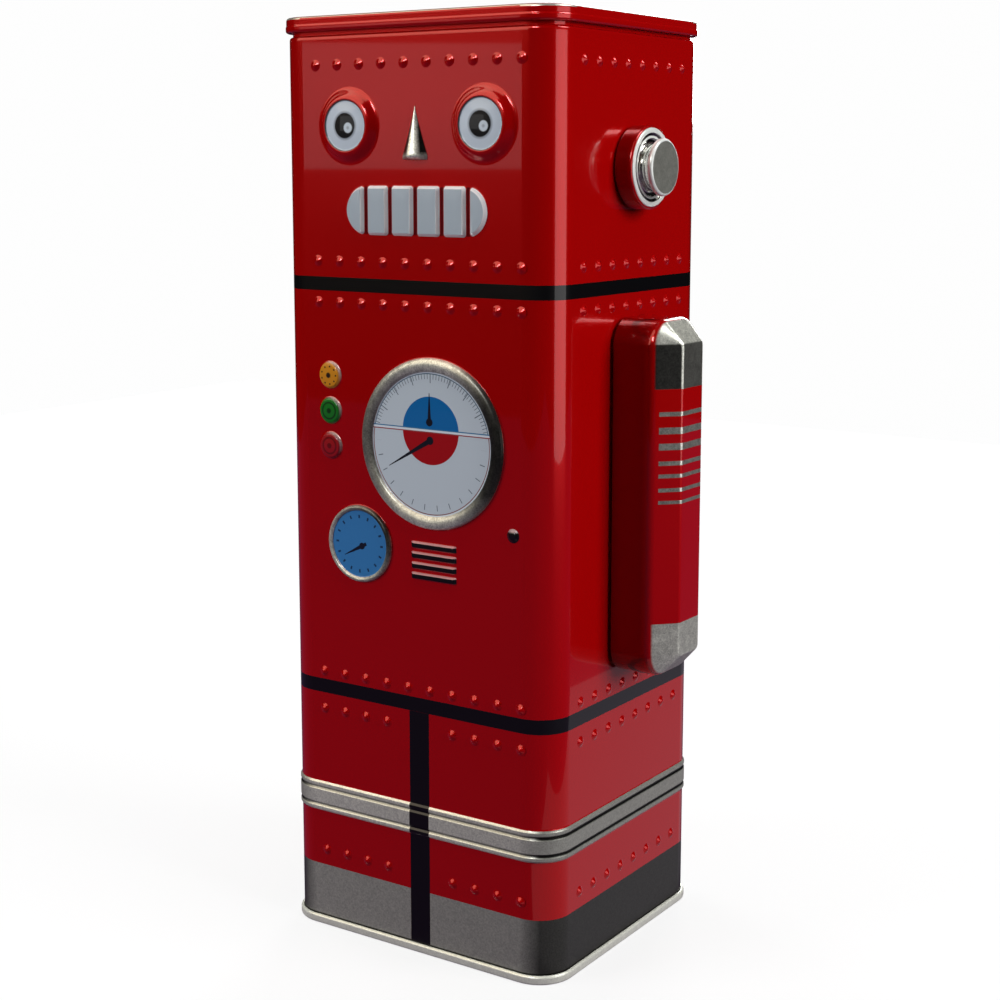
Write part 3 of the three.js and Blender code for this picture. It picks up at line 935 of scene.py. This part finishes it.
def dome_tree(material):
    """Geometry Nodes: a dome on each point, turned to its outward direction."""
    tree = bpy.data.node_groups.new("pressed_domes", "GeometryNodeTree")
    for key, way, kind in (("Geometry", "INPUT", "Geometry"), ("Radius", "INPUT", "Float"),
                           ("Rise", "INPUT", "Float"), ("Geometry", "OUTPUT", "Geometry")):
        tree.interface.new_socket(key, in_out=way, socket_type="NodeSocket" + kind)
    given, result = tree.nodes.new("NodeGroupInput"), tree.nodes.new("NodeGroupOutput")
    radius, rise = (Field(tree, given.outputs[key]) for key in ("Radius", "Rise"))

    cone = add_node(tree, "GeometryNodeMeshCone", Vertices=16, Side_Segments=6, Radius_Top=0.0,
                    Radius_Bottom=radius)
    cone.fill_type = "NONE"
    place = tree.nodes.new("GeometryNodeInputPosition").outputs[0]
    parts = add_node(tree, "ShaderNodeSeparateXYZ", Vector=place)
    x, y = Field(tree, parts.outputs[0]), Field(tree, parts.outputs[1])
    fullness = 0.8
    curve = ((x.hypot(y) / radius * math.pi).math("COSINE") + 1).math("POWER", fullness)
    height = curve * rise * 2 ** -fullness
    lifted = add_node(tree, "ShaderNodeCombineXYZ", X=x, Y=y, Z=height).outputs[0]
    shape = add_node(tree, "GeometryNodeSetPosition", Geometry=cone.outputs["Mesh"], Position=lifted)

    outward = add_node(tree, "GeometryNodeInputNamedAttribute", Name="outward")
    outward.data_type = "FLOAT_VECTOR"
    turn = add_node(tree, "FunctionNodeAlignRotationToVector", Vector=outward.outputs[0])
    turn.axis = "Z"
    last = add_node(tree, "GeometryNodeInstanceOnPoints", Points=given.outputs["Geometry"],
                    Instance=shape.outputs[0], Rotation=turn.outputs[0])
    for kind in ("GeometryNodeRealizeInstances", "GeometryNodeSetShadeSmooth", "GeometryNodeSetMaterial"):
        last = add_node(tree, kind, Geometry=last.outputs[0])
    last.inputs["Material"].default_value = material
    tree.links.new(last.outputs[0], result.inputs[0])
    return tree


def grown(name, points, tree, values, body):
    """Runs a Geometry Nodes tree on (place, outward) points and keeps the result as a plain mesh."""
    points = list(points)
    cloud = bpy.data.meshes.new(name + "_points")
    cloud.from_pydata([p for p, _ in points], [], [])
    outward = cloud.attributes.new("outward", "FLOAT_VECTOR", "POINT")
    outward.data.foreach_set("vector", [v for _, direction in points for v in direction])
    seed = bpy.data.objects.new(name + "_points", cloud)
    bpy.context.scene.collection.objects.link(seed)
    modifier = seed.modifiers.new("grow", "NODES")
    modifier.node_group = tree
    for item in tree.interface.items_tree:
        if item.in_out == "INPUT" and item.name in values:
            modifier[item.identifier] = values[item.name]
    seen = seed.evaluated_get(bpy.context.evaluated_depsgraph_get())
    mesh = bpy.data.meshes.new_from_object(seen)
    mesh.name = name
    bpy.data.objects.remove(seed)
    made = bpy.data.objects.new(name, mesh)
    bpy.context.scene.collection.objects.link(made)
    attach(made, body)
    return made


rivets = grown("pressed_rivets", rivet_points(), dome_tree(red_material),
               {"Radius": rivet_radius, "Rise": rivet_rise}, "tin")


# ---- Base ----------------------------------------------------------------------------------
# Bare tinplate: a panel pressed up inside the rolled seam that joins it to the body. The tin stands
# on the seam.

_, base_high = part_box("base_plate")
seam_out = base_high.x - half_width
panel_dip = 0.8 * MM              # the border round the panel lies this much lower


def base_profile():
    """Round the section: along the underside, round the seam, and back along the top."""
    flat, high_edge, low_edge = -9 * MM, -6 * MM, -5 * MM
    top, under = base_high.z, base_high.z - sheet
    seam_in, wall_in, wall_out, tucked = -1.3 * MM, -0.8 * MM, 0.1 * MM, 1 * MM
    return softened([
        (flat, under), (high_edge, under, 1 * MM), (low_edge, under - panel_dip, 1 * MM),
        (seam_in, under - panel_dip, 0.5 * MM), (seam_in, 0, 0.45 * MM),
        (seam_out, 0, 0.75 * MM), (seam_out, seam_top, 0.75 * MM), (wall_out, seam_top, 0.15 * MM),
        (wall_out, tucked), (wall_in, tucked), (wall_in, top - panel_dip, 0.5 * MM),
        (low_edge, top - panel_dip, 1 * MM), (high_edge, top, 1 * MM), (flat, top),
    ])


spokes = box_spokes(half_width, half_depth, corner_radius)
base_material = bare_tin("rolled_tin", 1.75, 0.35)
made = piece("base", carried(base_profile(), spokes, corner_radius, ends=True), [base_material], "tin")
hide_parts("base_plate")


# ---- Lid -----------------------------------------------------------------------------------
# A shallow red cap. Its skirt is rolled inwards at the lower edge, and the roll rides on the neck.

lid_out = lid_high.x - half_width
lid_recess = 0.5 * MM             # the middle of the top lies this much lower


def lid_profile():
    """Round the section: along the underside, down the skirt, round its roll, and back over the top."""
    flat, low_edge, high_edge = -9 * MM, -6 * MM, -5.2 * MM
    inner, roll_in, above_roll = lid_out - sheet, lid_out - 1.65 * MM, lid_out - 0.18 * MM
    low, top = lid_low.z, lid_high.z
    curl = low + 1.5 * MM
    return softened([
        (flat, top - sheet - lid_recess), (low_edge, top - sheet - lid_recess, 1 * MM),
        (high_edge, top - sheet, 1 * MM), (inner, top - sheet, 0.5 * MM),
        (inner, curl, 0.2 * MM), (roll_in, curl, 0.7 * MM),
        (roll_in, low, 0.7 * MM), (lid_out, low, 0.8 * MM), (lid_out, low + 1.7 * MM, 0.5 * MM),
        (above_roll, low + 2.0 * MM, 0.5 * MM), (above_roll, top - 0.9 * MM, 0.3 * MM),
        (lid_out - 0.02 * MM, top, 0.85 * MM), (high_edge, top, 1 * MM), (low_edge, top - lid_recess, 1 * MM),
        (flat, top - lid_recess),
    ])


def bare_under_lid(middle):
    """The inside of the lid isn't printed."""
    in_skirt = outset(middle.x, middle.y) < lid_out - sheet / 2 and middle.z > lid_low.z + 1.6 * MM
    recess = lid_recess if outset(middle.x, middle.y) < -5.6 * MM else 0
    return 1 if in_skirt and middle.z < lid_high.z - recess - sheet / 2 else 0


made = piece("lid_cap", carried(lid_profile(), spokes, corner_radius, ends=True),
             [red_material, bare_material], "lid", bare_under_lid)
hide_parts("lid")


# ---- Arms ----------------------------------------------------------------------------------
# Each arm is a tray pressed deep from printed tinplate, with a wide bevel round its outer face. It is
# printed with silver ends and seven silver slots, whose silver carries painted highlights and shade.
# Painted shade makes the red darker on the tray's wall, and a plate of bare tin closes the back.

arm_low, arm_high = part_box("arm_left_shell")
arm_half_tall = (arm_high.z - arm_low.z) / 2
arm_half_wide = (arm_high.y - arm_low.y) / 2
arm_middle = (arm_high.z + arm_low.z) / 2
arm_corner = 7.75 * MM
arm_bevel = 6.6 * MM
arm_straight = 12.45 * MM
silver_from, silver_to = 168.5 * MM, 101.5 * MM
arm_slots = [(161.5, 0.62), (156.8, 0.95), (152.3, 0.95), (147.6, 0.62), (144.0, 0.55), (140.0, 0.55),
             (136.5, 0.5)]         # height of the middle and half the thickness of each, in millimetres


def arm_print():
    material, tree = new_material("arm_print")
    x, y, z = place_in(tree)
    front = x.size().over(arm_low.x + arm_straight + 0.5 * MM, 0.5 * MM)
    slots, *others = [(z - level * MM).size().under(half * MM, 0.1 * MM) for level, half in arm_slots]
    for slot in others:
        slots = slots.most(slot)
    slots = slots * y.size().under(arm_half_wide - 1.6 * MM, 0.1 * MM)
    ends = z.over(silver_from).most(z.under(silver_to))
    silver = slots.most(ends) * front
    panel = y.size().under(arm_half_wide - arm_bevel)
    edge = (y.size() - (arm_half_wide - arm_bevel)).size().under(0.35 * MM, 0.3 * MM)
    slope = z.over(arm_high.z - arm_bevel, 0.4 * MM)
    at_top, at_bottom = z.over(silver_from), z.under(silver_to)
    # Painted highlight and shade on the silver: a bright line where the bevel meets the face, strongest at
    # the top end; the lower end lighter; the top end darker, with its upper slope lit.
    tone = (edge * (at_bottom * -1.35 + 1.5) + 0.55 + at_bottom * 0.6
            + at_top * (panel * 0.2 + slope * 0.9 - 0.48))
    # Painted shade: the tray's wall, between the body and the bevel, is a darker red.
    shaded_wall = x.size().under(arm_low.x + arm_straight - 1.5 * MM, 3 * MM)
    return varnish(material, painted(tree, RED, (shaded_wall, SHADED_RED)), silver, tone)


def arm_profile():
    """Going round the tray's wall in (outset, distance out from the body's middle)."""
    back, front = arm_low.x, arm_high.x
    bend = back + arm_straight
    inner_front = front - sheet
    return softened([
        (-arm_half_wide + 1 * MM, inner_front), (-arm_bevel - sheet / 2, inner_front, 0.5 * MM),
        (-sheet, bend - sheet / 2, 1 * MM), (-sheet, back),
        (0, back), (0, bend, 3.2 * MM), (-arm_bevel, front, 1.3 * MM), (-arm_half_wide + 1 * MM, front),
    ])


def along_side(shape, sign, z_middle):
    """Turns a shape made about the Z axis to lie along X, pointing out of one side of the robot."""
    verts, faces = shape
    return [(sign * z, sign * y, z_middle - x) for x, y, z in verts], faces


def arm_ring(profile):
    """The arm's outline is longer than its bevelled face, so inner rings keep a small corner of their own."""
    spokes_arm = box_spokes(arm_half_tall, arm_half_wide, arm_corner, 8)
    verts = []
    for out, height in profile:
        radius = max(arm_corner + out, 0.9 * MM)
        shrink = radius - (arm_corner + out)
        for centre, direction in spokes_arm:
            inward = Vector((math.copysign(shrink, centre.x), math.copysign(shrink, centre.y)))
            point = centre - inward + direction * radius
            verts.append((point.x, point.y, height))
    n, rows = len(spokes_arm), len(profile)
    return verts, strips(n, rows) + caps(n, rows)


def finished(node, material):
    """Gives a CAD node that is already the right shape its finish."""
    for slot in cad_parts[node].material_slots:
        slot.material = material


arm_material = arm_print()
for side, sign in (("left", 1), ("right", -1)):
    finished(f"arm_{side}_back_plate", bare_material)
    made = piece(f"arm_{side}_tray", along_side(arm_ring(arm_profile()), sign, arm_middle), [arm_material],
                 f"arm_{side}")
    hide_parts(f"arm_{side}_shell")


# ---- Arm and ear fixings -------------------------------------------------------------------
# Each arm turns on a tubular rivet with a spacer outside the tin, and a washer and a spring washer
# inside. Each ear has a rivet and one washer. All are pressed from zinc-plated steel.

def zinc_steel():
    material, tree = new_material("zinc_steel")
    point = surface_point(tree)
    ink, _, height = silver_ink(tree, point, 1.1, 0.1, 0.25)
    bloom = noise(tree, point, Scale=240, Detail=3.0)
    colour = painted(tree, ink, (bloom.over(0.55, 0.2) * 0.5, (0.50, 0.54, 0.60)))
    return dress(material, colour, 1.0, bloom * 0.3 + 0.2, height)


zinc_material = zinc_steel()
fixings = ("arm_{}_rivet", "arm_{}_spacer_washer", "arm_{}_inner_washer", "arm_{}_spring_washer",
           "ear_{}_rivet", "ear_{}_inner_washer")
for fixing in fixings:
    for side in ("left", "right"):
        finished(fixing.format(side), zinc_material)


# ---- Ears ----------------------------------------------------------------------------------
# A red cup riveted to each side of the head. A knob turned from aluminium is pressed into it: a
# satin ring lies on the cup's lip, and a polished neck carries a head with a brushed grey face.

def revolved(profile, steps=64, open_middle=False):
    """Turns a profile of (radius, height) about Z, outside going up. A closed middle gets flat ends."""
    angles = [2 * math.pi * k / steps for k in range(steps)]
    spokes_round = [(Vector((0, 0)), Vector((math.cos(a), math.sin(a)))) for a in angles]
    return carried(profile, spokes_round, 0.0, ends=not open_middle)


ear_low, ear_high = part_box("ear_left_cup")
knob_low, knob_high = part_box("ear_left_knob")
ear_z = (ear_low.z + ear_high.z) / 2
ear_cup = (ear_high.z - ear_low.z) / 2
ear_ring = (knob_high.z - knob_low.z) / 2
ring_wide = 1.45 * MM
thin_ring = (ear_ring - 2.95 * MM, ear_ring - 2.3 * MM)
ring_top = ear_high.x + 0.3 * MM
ear_face = knob_high.x
ear_knob = 8 * MM
bore = 2.15 * MM


def knob_metal():
    """Polished, with a satin head and rings, and a grey face with the fine rings of the lathe."""
    material, tree = new_material("bright_knob")
    x, y, z = place_in(tree, (0, 0, ear_z))
    radius = y.hypot(z)
    out = x.size()
    face = out.over(ear_face - 0.2 * MM, 0.1 * MM) * radius.under(ear_knob - 0.75 * MM, 0.12 * MM)
    head = out.over(ear_face - 1.3 * MM, 0.3 * MM) * (face * -1 + 1)
    rings = radius.over(ear_ring - ring_wide).most(radius.between(*thin_ring))
    satin = head.most(rings * out.over(ring_top - 0.5 * MM))
    ink, _, ink_height = silver_ink(tree, surface_point(tree), 0.5, 0.2, 0.3)
    colour = painted(tree, (0.74, 0.74, 0.71), (satin, (0.84, 0.86, 0.82)), (face, ink))
    lathe_pitch = 0.35 * MM
    turned = (radius * (2 * math.pi / lathe_pitch)).math("SINE") * 0.0006 * MM
    metal, rough = satin * -0.7 + face * -0.45 + 1, face * 0.36 + satin * 0.15 + 0.13
    return dress(material, colour, metal, rough, turned + ink_height * face * 2)


def cup_print():
    """Painted shade: the cup's wall is a darker red towards the tin."""
    material, tree = new_material("cup_print")
    x, _, _ = place_in(tree)
    shaded_wall = x.size().under(ear_high.x - 0.5 * MM, 2 * MM)
    return varnish(material, painted(tree, RED, (shaded_wall, SHADED_RED)))


def cup_profile():
    low, rim = ear_low.x, ear_high.x
    lip = ear_ring + 0.05 * MM
    return softened([
        (bore, low), (ear_cup, low, 0.7 * MM), (ear_cup, rim, 0.62 * MM), (lip, rim), (lip, rim - sheet),
        (ear_cup - sheet, rim - sheet, 0.12 * MM), (ear_cup - sheet, low + sheet, 0.3 * MM),
        (bore, low + sheet),
    ])


def knob_profile():
    low = knob_low.x
    groove = ring_top - 0.9 * MM
    thin_top = ring_top - 0.2 * MM
    inner = ear_ring - ring_wide
    neck = 6.7 * MM
    return softened([
        (2 * MM, ear_face - 2.5 * MM), (neck - 0.9 * MM, ear_face - 2.5 * MM), (neck - 0.9 * MM, low),
        (ear_ring, low, 0.1 * MM), (ear_ring, ring_top, 0.5 * MM), (inner, ring_top, 0.35 * MM),
        (inner - 0.25 * MM, groove, 0.15 * MM), (thin_ring[1] + 0.1 * MM, groove, 0.15 * MM),
        (thin_ring[1], thin_top, 0.2 * MM), (thin_ring[0], thin_top, 0.2 * MM),
        (thin_ring[0] - 0.2 * MM, groove, 0.2 * MM), (neck + 0.1 * MM, groove, 0.4 * MM),
        (neck, ear_face - 2.0 * MM, 0.5 * MM), (ear_knob, ear_face - 1.6 * MM, 0.5 * MM),
        (ear_knob, ear_face, 0.8 * MM), (2 * MM, ear_face),
    ], 6)


knob_material, cup_material = knob_metal(), cup_print()
for side, sign in (("left", 1), ("right", -1)):
    made = piece(f"ear_{side}_cup_skin", along_side(revolved(cup_profile(), open_middle=True), sign, ear_z),
                 [cup_material], f"ear_{side}")
    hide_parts(f"ear_{side}_cup")
    made = piece(f"ear_{side}_button", along_side(revolved(knob_profile()), sign, ear_z), [knob_material],
                 f"ear_{side}")
    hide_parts(f"ear_{side}_knob")


# ---- Stage, lights and camera --------------------------------------------------------------
# A plain pale floor, broad soft lights, and cards that only show in the gloss.

def stage_floor():
    """Pale to look at, and dim in the gloss, as in a darkened studio."""
    material, tree = new_material("pale_floor")
    shader = tree.nodes["Principled BSDF"]
    for key, value in (("Base Color", (0.16, 0.16, 0.16)), ("Roughness", 0.9), ("Specular IOR Level", 0.0),
                       ("Emission Color", (1, 1, 1)), ("Emission Strength", 0.80)):
        feed(tree, shader.inputs[key], value)
    dim = add_node(tree, "ShaderNodeEmission", Color=(0.055, 0.03, 0.074))
    seen = tree.nodes.new("ShaderNodeLightPath")
    mix = tree.nodes.new("ShaderNodeMixShader")
    for slot, value in enumerate((seen.outputs["Is Camera Ray"], dim.outputs[0], shader.outputs[0])):
        feed(tree, mix.inputs[slot], value)
    tree.links.new(mix.outputs[0], tree.nodes["Material Output"].inputs["Surface"])
    corners = [(-1, -1, 0), (1, -1, 0), (1, 1, 0), (-1, 1, 0)]
    made = piece("floor", (corners, [(0, 1, 2, 3)]), [material], None)


def softbox(name, place, target, wide, tall, power, diffuse=True, glossy=True, tint=(1, 1, 1)):
    """A rectangular light at a place, facing a target."""
    lamp = bpy.data.lights.new(name, "AREA")
    lamp.shape = "RECTANGLE"
    lamp.size, lamp.size_y = wide, tall
    lamp.energy = power
    lamp.color = tint
    made = bpy.data.objects.new(name, lamp)
    bpy.context.scene.collection.objects.link(made)
    made.location = place
    made.rotation_euler = (Vector(place) - Vector(target)).to_track_quat("Z", "Y").to_euler()
    made.visible_camera = False
    made.visible_diffuse = diffuse
    made.visible_glossy = glossy


stage_floor()
middle = (0, 0, 0.14)
brow = (0, -0.04, 0.25)
softbox("key", (1.3, 0.12, 0.7), middle, 0.9, 0.9, 21, glossy=False)
softbox("fill", (-0.95, -1.15, 0.55), middle, 0.8, 0.8, 15, glossy=False)
softbox("left_fill", (-1.4, 0.4, 0.6), middle, 0.7, 0.7, 10, glossy=False)
softbox("back", (-0.5, 1.4, 0.7), middle, 0.6, 0.9, 14)
softbox("top", (0, 0, 1.3), middle, 0.8, 0.8, 7, glossy=False)
softbox("brow_card", (-0.419, -0.603, 0.2685), brow, 0.16, 0.082, 0.023, diffuse=False)
softbox("corner_card", (0.82, 0.045, 0.19), (0.04, 0.03, 0.2), 0.59, 0.34, 0.88, diffuse=False)
softbox("warm_card", (-0.418, -0.601, 0.88), brow, 1.1, 1.32, 7.6, diffuse=False, tint=(1, 0.84, 0.64))
softbox("high_front", (0.2, -1.0, 0.85), middle, 0.32, 0.32, 4.4, diffuse=False)
softbox("high_right", (0.75, 0.35, 1.05), middle, 0.45, 0.45, 5.5, diffuse=False)
softbox("floor_glow", (0.122, 0.12, 0.002), (0.122, 0.12, 1), 0.145, 0.5, 0.048, diffuse=False)

world = bpy.data.worlds.new("studio")
bpy.context.scene.world = world
world.use_nodes = True
room = world.node_tree
seen = room.nodes.new("ShaderNodeLightPath")
glow = room.nodes["Background"]
to_camera, to_matt = (Field(room, seen.outputs[f"Is {kind} Ray"]) for kind in ("Camera", "Diffuse"))
feed(room, glow.inputs["Color"], (1, 1, 1))
feed(room, glow.inputs["Strength"], to_camera * 0.985 + to_matt * 0.06 + 0.004)

camera = bpy.data.objects.new("camera", bpy.data.cameras.new("camera"))
bpy.context.scene.collection.objects.link(camera)
camera.location = (0.2992, -0.4419, 0.2300)
camera.rotation_euler = (math.radians(90 - 8.78), 0, math.radians(33.92))
camera.data.lens = 64.05
camera.data.shift_y = -0.06
bpy.context.scene.camera = camera
bpy.context.scene.view_settings.view_transform = "Standard"
